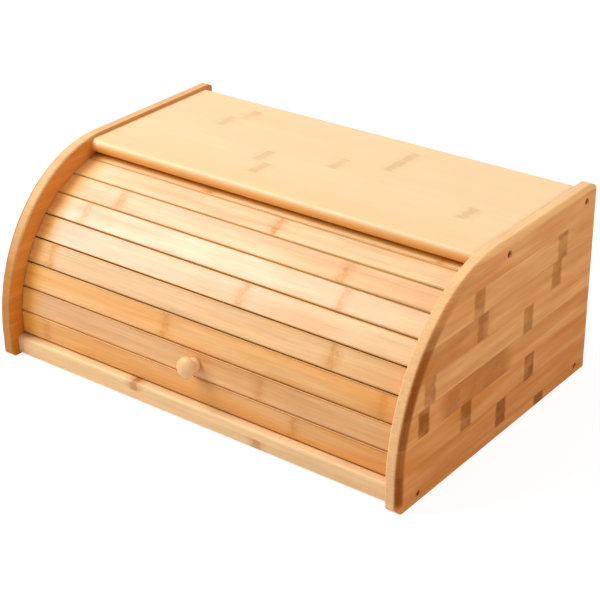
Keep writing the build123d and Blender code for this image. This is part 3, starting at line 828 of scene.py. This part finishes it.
def slat_tree():
    """Bars round an axis along X, the first at First angle, then one every Step angle."""
    tree, given, result = new_group(
        "slats round an axis", GEOMETRY_TREE,
        {"Geometry": (GEOMETRY, None), "Count": (WHOLE_NUMBER, 10), "Length": (NUMBER, 0.4),
         "Width": (NUMBER, 0.02), "Thickness": (NUMBER, 0.005), "Outer round": (NUMBER, 0.0013),
         "Inner ease": (NUMBER, 0.0003), "Radius": (NUMBER, 0.12), "First angle": (NUMBER, 0.0),
         "Step angle": (NUMBER, 0.17), "Axis": (DIRECTION, (0, 0, 0)), "Finish": (MATERIAL, None)},
        {"Geometry": GEOMETRY},
    )
    places = add(tree, "GeometryNodePoints", {"Count": given["Count"], "Position": given["Axis"]})
    order = tree.nodes.new("GeometryNodeInputIndex").outputs[0]
    angle = calc(tree, "MULTIPLY_ADD", order, given["Step angle"], given["First angle"])
    turn = joined(tree, calc(tree, "SUBTRACT", QUARTER_TURN, angle))
    row = add(tree, "GeometryNodeInstanceOnPoints",
              {"Points": places.outputs[0], "Instance": slat_bar(tree, given), "Rotation": turn})
    row = add(tree, "GeometryNodeStoreNamedAttribute",
              {"Geometry": row.outputs[0], "Name": "slat", "Value": calc(tree, "ADD", order, 1.0)},
              domain="INSTANCE")
    end_tree(tree, row, given, result)
    return tree


# %% Grow a piece from a tree
def grow(name, tree, base=None, **inputs):
    """Run a Geometry Nodes tree on a base mesh and keep the result as a plain mesh object."""
    holder = bpy.data.objects.new(name, base or bpy.data.meshes.new(name))
    bpy.context.scene.collection.objects.link(holder)
    modifier = holder.modifiers.new("grow", "NODES")
    modifier.node_group = tree
    identifiers = {item.name: item.identifier for item in tree.interface.items_tree if item.in_out == "INPUT"}
    for title, value in inputs.items():
        modifier[identifiers[title.replace("_", " ")]] = value
    evaluated = holder.evaluated_get(bpy.context.evaluated_depsgraph_get())
    mesh = bpy.data.meshes.new_from_object(evaluated)
    holder.modifiers.remove(modifier)
    holder.data = mesh
    mesh.name = name
    print(name, len(mesh.polygons), "faces")
    return holder


slats = grow(
    "lid_slats", slat_tree(), Count=SLAT_COUNT, Length=SLAT_LENGTH, Width=SLAT_WIDTH, Thickness=SLAT_THICK,
    Radius=LID_RADIUS, First_angle=FIRST_ANGLE, Step_angle=STEP_ANGLE, Axis=tuple(AXIS), Finish=SLAT_BAMBOO,
)

# %% [markdown]
# Each slat now gets its tint and the places of its ring marks, in millimetres from the middle of
# the box, counted from the lowest slat. A cane's rings lie 200 to 300 mm apart, so a slat of
# 387 mm has one or two. `FAR` puts the second mark off the end of the slat. Each slat is painted
# darker towards the right, as painted shade where the main light and its sheen fall off: more
# amber on the lower slats, and straw coloured on the upper ones. So a tint is written twice, as it
# is at the left end and as it is in the painted shade at the right end.

# %% Tint and mark each slat
AMBER, ROSE, HONEY = colour(240, 168, 84), colour(234, 174, 112), colour(240, 176, 104)
PEACH, CREAM, IVORY = colour(242, 194, 140), colour(252, 198, 149), colour(253, 197, 147)
STRAW, WARM, SHADED = colour(253, 196, 143), colour(254, 212, 158), colour(226, 160, 96)
SLAT_TINTS = (AMBER, ROSE, HONEY, PEACH, CREAM, IVORY, STRAW, WARM, WARM, SHADED)
SLAT_MARKS = (
    (-160, 95), (62, FAR), (-35, 170), (-165, 119), (26, -178), (109, -150), (-126, 98), (20, FAR),
    (-60, 160), (-20, FAR),
)
# What the tint's red, green and blue are multiplied by at the left end and at the painted shade of
# the right end, on the lower and upper slats.
LOWER_ENDS = {"tint": (1.0, 1.05, 1.20, 1.0), "right_shade": (0.95, 0.76, 0.40, 1.0)}
UPPER_ENDS = {"tint": (1.0, 1.02, 1.20, 1.0), "right_shade": (0.90, 0.93, 0.50, 1.0)}
LOWER_COUNT = 4


def give_slats_their_wood(mesh):
    """Write the slat's tint at either end and its two mark places to every point."""
    numbers = np.empty(len(mesh.vertices), np.float32)
    mesh.attributes["slat"].data.foreach_get("value", numbers)
    order = np.rint(numbers).astype(int) - 1
    tints = np.array(SLAT_TINTS, np.float32)[order]
    is_upper = (order >= LOWER_COUNT)[:, None]
    for name in LOWER_ENDS:
        share = np.where(is_upper, UPPER_ENDS[name], LOWER_ENDS[name]).astype(np.float32)
        tint = mesh.attributes.new(name, "FLOAT_COLOR", "POINT")
        tint.data.foreach_set("color", np.minimum(tints * share, 1.0).ravel())
    for name, places in zip(("ring_a", "ring_b"), np.array(SLAT_MARKS, np.float32).T):
        ring = mesh.attributes.new(name, "FLOAT", "POINT")
        ring.data.foreach_set("value", places[order] / MM)


give_slats_their_wood(slats.data)
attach(slats, "lid")
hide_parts(*[f"slat_{number:02d}" for number in range(1, SLAT_COUNT + 1)])

# %% [markdown]
# ## The knob
# The knob is turned on a lathe: a small bead where it meets the slat, a short neck and a domed
# head. So it is drawn as half an outline, which `lathe` spins round. The outline is made of round
# strokes, so the knob is smooth from every side. A screw from behind holds it.

# %% Helper: turn an outline on a lathe
ARC_STEPS = 10


def lathe(name, outline, segments):
    """Spin (radius, height) points about z; a radius of 0 closes the end with a pole."""
    shape = bmesh.new()
    rings = []
    for radius, height in outline:
        if radius == 0:
            rings.append([shape.verts.new((0, 0, height))])
            continue
        turns = [math.tau * step / segments for step in range(segments)]
        rings.append([shape.verts.new((radius * math.cos(t), radius * math.sin(t), height)) for t in turns])
    for below, above in zip(rings, rings[1:]):
        for step in range(segments):
            after = (step + 1) % segments
            corners = [below[step % len(below)], below[after % len(below)],
                       above[after % len(above)], above[step % len(above)]]
            shape.faces.new(dict.fromkeys(corners))
    bmesh.ops.recalc_face_normals(shape, faces=shape.faces)
    mesh = bpy.data.meshes.new(name)
    shape.to_mesh(mesh)
    shape.free()
    mesh.polygons.foreach_set("use_smooth", [True] * len(mesh.polygons))
    made = bpy.data.objects.new(name, mesh)
    bpy.context.scene.collection.objects.link(made)
    return made


def arc(centre, radius, start, end):
    """Points on a round stroke, from a start to an end angle in degrees; 0 points outwards."""
    angles = [math.radians(start + (end - start) * step / ARC_STEPS) for step in range(ARC_STEPS + 1)]
    return [(centre[0] + radius * math.cos(a), centre[1] + radius * math.sin(a)) for a in angles]


# %% Turn the knob
KNOB_SLAT, KNOB_SEGMENTS = 2, 64
KNOB_ANGLE = FIRST_ANGLE + (KNOB_SLAT - 1) * STEP_ANGLE
HEAD_RADIUS, HEAD_ROUND = 0.0083, 0.0040
HEAD_HEIGHT, DOME_HEIGHT = 0.0110, 0.0055
NECK_RADIUS, BEAD_RADIUS, BEAD_HEIGHT = 0.0048, 0.0060, 0.0045
SCREW_BORE, BORE_DEPTH = 0.0017, 0.0108


def knob_outline():
    """Half the knob's outline, from the bore out over the bead and the head to the top."""
    rim = HEAD_RADIUS - HEAD_ROUND
    top = HEAD_HEIGHT + DOME_HEIGHT
    cap = (rim**2 + DOME_HEIGHT**2 - HEAD_ROUND**2) / (2 * (DOME_HEIGHT - HEAD_ROUND))
    meet = math.degrees(math.atan2(HEAD_HEIGHT - top + cap, rim))
    under = math.degrees(math.acos((NECK_RADIUS - rim) / HEAD_ROUND))
    half = BEAD_HEIGHT / 2
    swell = BEAD_RADIUS - NECK_RADIUS
    bead_round = (half**2 + swell**2) / (2 * swell)
    lean = math.degrees(math.asin(half / bead_round))
    return [
        (0, BORE_DEPTH), (SCREW_BORE, BORE_DEPTH), (SCREW_BORE, 0),
        *arc((BEAD_RADIUS - bead_round, half), bead_round, -lean, lean),
        *arc((rim, HEAD_HEIGHT), HEAD_ROUND, -under, 0),
        *arc((rim, HEAD_HEIGHT), HEAD_ROUND, 0, meet)[1:],
        *arc((0, top - cap), cap, meet, 90)[1:-1],
        (0, top),
    ]


def place_on_lid(piece, angle, reach):
    """Stand a piece, drawn upwards from its own origin, on the lid at an angle and a radius."""
    stand = Matrix.Rotation(QUARTER_TURN - angle, 4, "X")
    foot = AXIS + Vector((0, -math.cos(angle), math.sin(angle))) * reach
    piece.data.transform(Matrix.Translation(foot) @ stand)


knob = lathe("knob_turned", knob_outline(), KNOB_SEGMENTS)
place_on_lid(knob, KNOB_ANGLE, LID_RADIUS)
print("knob's top at", [round(v * MM, 1) for v in knob.data.vertices[-1].co], "mm")

# %% Material for the knob
KNOB_SHADE, KNOB_LIGHT, KNOB_WASH = colour(242, 186, 126), colour(250, 200, 142), 140.0


def knob_material():
    """Close-grained turned wood, peach coloured, its grain along the knob."""
    made, tree, _, coords = blank_material("turned peach wood")
    upright = add(tree, "ShaderNodeMapping",
                  {"Vector": coords["Object"], "Rotation": (KNOB_ANGLE - QUARTER_TURN, 0, 0)})
    part = split(tree, upright.outputs[0])
    vector = joined(tree, part["Z"], part["X"], part["Y"])
    fibres = group(tree, FIBRES, Place=vector, Streaks=0.035, Seed=12.0)
    wood = blend_colours(tree, speckle(tree, coords["Object"], KNOB_WASH), KNOB_SHADE, KNOB_LIGHT)
    lacquered(tree, wood, fibres, height=0.00004, roughness=0.36, shine=0.4, coat=0.06)
    print(made.name, len(tree.nodes), "nodes")
    return made


knob.data.materials.append(knob_material())
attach(knob, "lid")
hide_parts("knob")

# %% [markdown]
# ## The canvas behind the slats
# A strip of cotton canvas, glued to the slats' backs, is what makes a row of loose bars a lid. It
# lies flat on each slat and bends at each seam. It is cut to 346 by 197 mm before it is glued on.
# The weave follows a UV map that is laid out in metres.

# %% Lay the canvas
_, CANVAS_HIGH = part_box("canvas_backing")
CANVAS_HALF = CANVAS_HIGH[0]
SLAT_BACK = LID_RADIUS - SLAT_THICK
CLOTH_THICK = 0.0005
END_MARGIN = 0.003
COLUMNS = 24


def canvas_line():
    """Points of the cloth's outer side from its lower to its upper edge, seen from the lid's side."""
    def spot(angle, along):
        out = Vector((0, -math.cos(angle), math.sin(angle)))
        up = Vector((0, math.sin(angle), math.cos(angle)))
        return AXIS + out * SLAT_BACK + up * along

    line = []
    for number in range(SLAT_COUNT):
        angle = FIRST_ANGLE + number * STEP_ANGLE
        low = END_MARGIN - HALF_SLAT if number == 0 else -HALF_SLAT
        high = HALF_SLAT - END_MARGIN if number == SLAT_COUNT - 1 else HALF_SLAT
        line += [spot(angle, low), spot(angle, 0.0), spot(angle, high)]
    return line


def lay_canvas():
    """A grid of cloth along that line, with a UV map in metres."""
    line = canvas_line()
    lengths = [0.0]
    for before, after in zip(line, line[1:]):
        lengths.append(lengths[-1] + (after - before).length)
    shape = bmesh.new()
    sheet_uv = shape.loops.layers.uv.new("UVMap")
    across = [CANVAS_HALF * (2 * column / COLUMNS - 1) for column in range(COLUMNS + 1)]
    rows = [[shape.verts.new((x, p.y, p.z)) for x in across] for p in line]
    flat = {v: (x, length) for row, length in zip(rows, lengths) for v, x in zip(row, across)}
    for lower, upper in zip(rows, rows[1:]):
        for column in range(COLUMNS):
            face = shape.faces.new((lower[column], upper[column], upper[column + 1], lower[column + 1]))
            for loop in face.loops:
                loop[sheet_uv].uv = flat[loop.vert]
    mesh = bpy.data.meshes.new("canvas_cloth")
    shape.to_mesh(mesh)
    shape.free()
    cloth = bpy.data.objects.new("canvas_cloth", mesh)
    bpy.context.scene.collection.objects.link(cloth)
    wall = cloth.modifiers.new("thickness", "SOLIDIFY")
    wall.thickness, wall.offset = CLOTH_THICK, -1.0
    print("canvas", round(2 * CANVAS_HALF, 4), "x", round(lengths[-1], 4), "m")
    return cloth, (2 * CANVAS_HALF, lengths[-1])


canvas, CANVAS_CUT = lay_canvas()

# %% Material for the canvas
THREADS, THREAD_HEIGHT, GAP_SHARE = 1250.0, 0.0002, 0.45
SLUB_SCALE, SLUB_DETAIL = 90.0, 4.0
COTTON_SHADE, COTTON_LIGHT = colour(196, 182, 150), colour(226, 214, 184)
GLUE_BROWN, THREAD_GAP = colour(240, 160, 60), colour(150, 134, 104)


def thread(tree, count):
    """How high a thread bulges at a place that is counted in threads."""
    return calc(tree, "ABSOLUTE", calc(tree, "SINE", times(tree, count, math.pi)))


def canvas_material():
    """Plain weave: threads along and across. The outer side is brown with the slats' glue."""
    made, tree, place, coords = blank_material("cotton canvas")
    threads = scaled(tree, coords["UV"], (THREADS, THREADS, 0.0))
    count = split(tree, threads)
    warp, weft = thread(tree, count["X"]), thread(tree, count["Y"])
    checker = add(tree, "ShaderNodeTexChecker", {"Vector": threads, "Scale": 1.0}).outputs["Fac"]
    over = calc(tree, "MULTIPLY_ADD", checker, calc(tree, "SUBTRACT", warp, weft), weft)
    slub = speckle(tree, coords["UV"], SLUB_SCALE, SLUB_DETAIL)
    cotton = blend_colours(tree, slub, COTTON_SHADE, COTTON_LIGHT)
    face = split(tree, coords["Normal"])
    above = times(tree, calc(tree, "SUBTRACT", place["Z"], AXIS.z), face["Z"])
    ahead = times(tree, calc(tree, "SUBTRACT", place["Y"], AXIS.y), face["Y"])
    glued = calc(tree, "GREATER_THAN", calc(tree, "ADD", above, ahead), 0.0)
    cotton = blend_colours(tree, glued, cotton, GLUE_BROWN)
    gaps = times(tree, calc(tree, "SUBTRACT", 1.0, over), GAP_SHARE)
    cotton = blend_colours(tree, gaps, cotton, THREAD_GAP)
    bump = add(tree, "ShaderNodeBump", {"Strength": 0.6, "Distance": THREAD_HEIGHT, "Height": over})
    shader = add(tree, "ShaderNodeBsdfPrincipled", {
        "Base Color": cotton, "Roughness": 0.9, "Normal": bump.outputs[0],
        "Sheen Weight": 0.15, "Sheen Roughness": 0.5,
    })
    add(tree, "ShaderNodeOutputMaterial", {"Surface": shader.outputs[0]})
    print(made.name, len(tree.nodes), "nodes")
    return made


canvas.data.materials.append(canvas_material())
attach(canvas, "lid")
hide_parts("canvas_backing")

# %% [markdown]
# ## The screws
# Four countersunk screws go through each side panel into the boards, sunk a little below its face.
# Their metal is a warm brown. One screw is turned on the lathe and its cross recess is cut with a
# Boolean. A tree then sets a copy at each of the case's screw places, for one side at a time, and
# gives each its own chance turn about its length.

# %% Material for the screws
WEAR_SCALE, WEAR_HEIGHT = 900.0, 0.00005
DARK_BROWN_METAL, LIGHT_BROWN_METAL = colour(146, 74, 12), colour(184, 110, 38)


def steel_material():
    """Zinc-plated steel in a warm brown, in darker and lighter patches."""
    made, tree, _, coords = blank_material("zinc plated steel")
    wear = speckle(tree, coords["Object"], WEAR_SCALE)
    metal = blend_colours(tree, ramp(tree, wear, 0.35, 0.7), DARK_BROWN_METAL, LIGHT_BROWN_METAL)
    bump = add(tree, "ShaderNodeBump", {"Strength": 0.2, "Distance": WEAR_HEIGHT, "Height": wear})
    shader = add(tree, "ShaderNodeBsdfPrincipled", {
        "Base Color": metal, "Metallic": 1.0, "Normal": bump.outputs[0],
        "Roughness": ramp(tree, wear, 0.3, 0.7, 0.22, 0.42, "LINEAR"),
    })
    add(tree, "ShaderNodeOutputMaterial", {"Surface": shader.outputs[0]})
    print(made.name, len(tree.nodes), "nodes")
    return made


STEEL = steel_material()

# %% Turn one screw and cut its recess
SCREW_RADIUS, SCREW_HEAD, SCREW_LENGTH = 0.0016, 0.0030, 0.030
HEAD_RIM, RIM_EASE, POINT_LENGTH = 0.0004, 0.0002, 0.003
RECESS_LENGTH, RECESS_WIDTH, RECESS_DEPTH, RECESS_TAPER = 0.0032, 0.0007, 0.0010, 0.7
SCREW_SEGMENTS = 32


def cut_slot(body, length, width):
    """Cut one slot of the recess, narrower at its floor than at the head's flat."""
    cutter = bmesh.new()
    bmesh.ops.create_cube(cutter, size=1.0)
    bmesh.ops.scale(cutter, vec=(length, width, 2 * RECESS_DEPTH), verts=cutter.verts)
    deep = [v for v in cutter.verts if v.co.z < 0]
    bmesh.ops.scale(cutter, vec=(RECESS_TAPER, RECESS_TAPER, 1.0), verts=deep)
    mesh = bpy.data.meshes.new("recess")
    cutter.to_mesh(mesh)
    cutter.free()
    tool = bpy.data.objects.new("recess", mesh)
    bpy.context.scene.collection.objects.link(tool)
    cut = body.modifiers.new("recess", "BOOLEAN")
    cut.object, cut.operation, cut.solver = tool, "DIFFERENCE", "EXACT"
    evaluated = body.evaluated_get(bpy.context.evaluated_depsgraph_get())
    body.data = bpy.data.meshes.new_from_object(evaluated)
    body.modifiers.remove(cut)
    bpy.data.objects.remove(tool)


def screw_template():
    """One countersunk screw, its head's flat at z = 0, with the cross recess cut in."""
    cone_end = HEAD_RIM + SCREW_HEAD - SCREW_RADIUS
    body = lathe("screw_template", [
        (0, 0), (SCREW_HEAD - RIM_EASE, 0), (SCREW_HEAD, -RIM_EASE), (SCREW_HEAD, -HEAD_RIM),
        (SCREW_RADIUS, -cone_end), (SCREW_RADIUS, POINT_LENGTH - SCREW_LENGTH), (0, -SCREW_LENGTH),
    ], SCREW_SEGMENTS)
    cut_slot(body, RECESS_LENGTH, RECESS_WIDTH)
    cut_slot(body, RECESS_WIDTH, RECESS_LENGTH)
    body.data.polygons.foreach_set("use_smooth", [False] * len(body.data.polygons))
    print("one screw", len(body.data.polygons), "faces")
    return body


template = screw_template()

# %% Tree: one screw at every point
def screw_tree():
    """A copy of an object at every point of the base mesh, each with a chance turn of its own."""
    tree, given, result = new_group(
        "screws at points", GEOMETRY_TREE,
        {"Geometry": (GEOMETRY, None), "Screw": (OBJECT, None), "Turn": (DIRECTION, (0, 0, 0)),
         "Seed": (WHOLE_NUMBER, 0), "Finish": (MATERIAL, None)},
        {"Geometry": GEOMETRY},
    )
    copy = add(tree, "GeometryNodeObjectInfo", {"Object": given["Screw"]})
    points = add(tree, "GeometryNodeMeshToPoints", {"Mesh": given["Geometry"]})
    spin = add(tree, "FunctionNodeRandomValue", {"Seed": given["Seed"]}, data_type="FLOAT")
    spin.inputs["Max"].default_value = QUARTER_TURN
    row = add(tree, "GeometryNodeInstanceOnPoints",
              {"Points": points.outputs[0], "Instance": copy.outputs["Geometry"], "Rotation": given["Turn"]})
    row = add(tree, "GeometryNodeRotateInstances",
              {"Instances": row.outputs[0], "Rotation": joined(tree, z=spin.outputs[1]), "Local Space": True})
    end_tree(tree, row, given, result)
    return tree


# %% Set the case's screws
SCREW_SEED = 3
# Points of one screw lie nearer to each other than this, seen from the side.
ONE_SCREW = 2.2 * SCREW_HEAD


def screw_places(node, side):
    """Where the screws' heads are: the middle of each packed screw, at its outer end."""
    gathered = []
    for vertex in frame["nodes"][node].data.vertices:
        for screw in gathered:
            if (Vector(screw[0]).yz - vertex.co.yz).length < ONE_SCREW:
                screw.append(tuple(vertex.co))
                break
        else:
            gathered.append([tuple(vertex.co)])
    places = []
    for screw in gathered:
        low, high = np.min(screw, axis=0), np.max(screw, axis=0)
        middle = (low + high) / 2
        places.append((high[0] if side > 0 else low[0], middle[1], middle[2]))
    return places


tree = screw_tree()
for side, word in ((-1, "left"), (1, "right")):
    places = screw_places(f"case_screws_{word}", side)
    print(word, [tuple(round(float(v) * MM, 1) for v in place) for place in places], "mm")
    base = bpy.data.meshes.new(f"screw_places_{word}")
    base.from_pydata(places, [], [])
    screws = grow(f"screws_{word}", tree, base, Screw=template, Turn=(0, side * QUARTER_TURN, 0),
                  Seed=SCREW_SEED, Finish=STEEL)
    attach(screws, "case")
    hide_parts(f"case_screws_{word}")
bpy.data.objects.remove(template)
dress("knob_screw", STEEL)
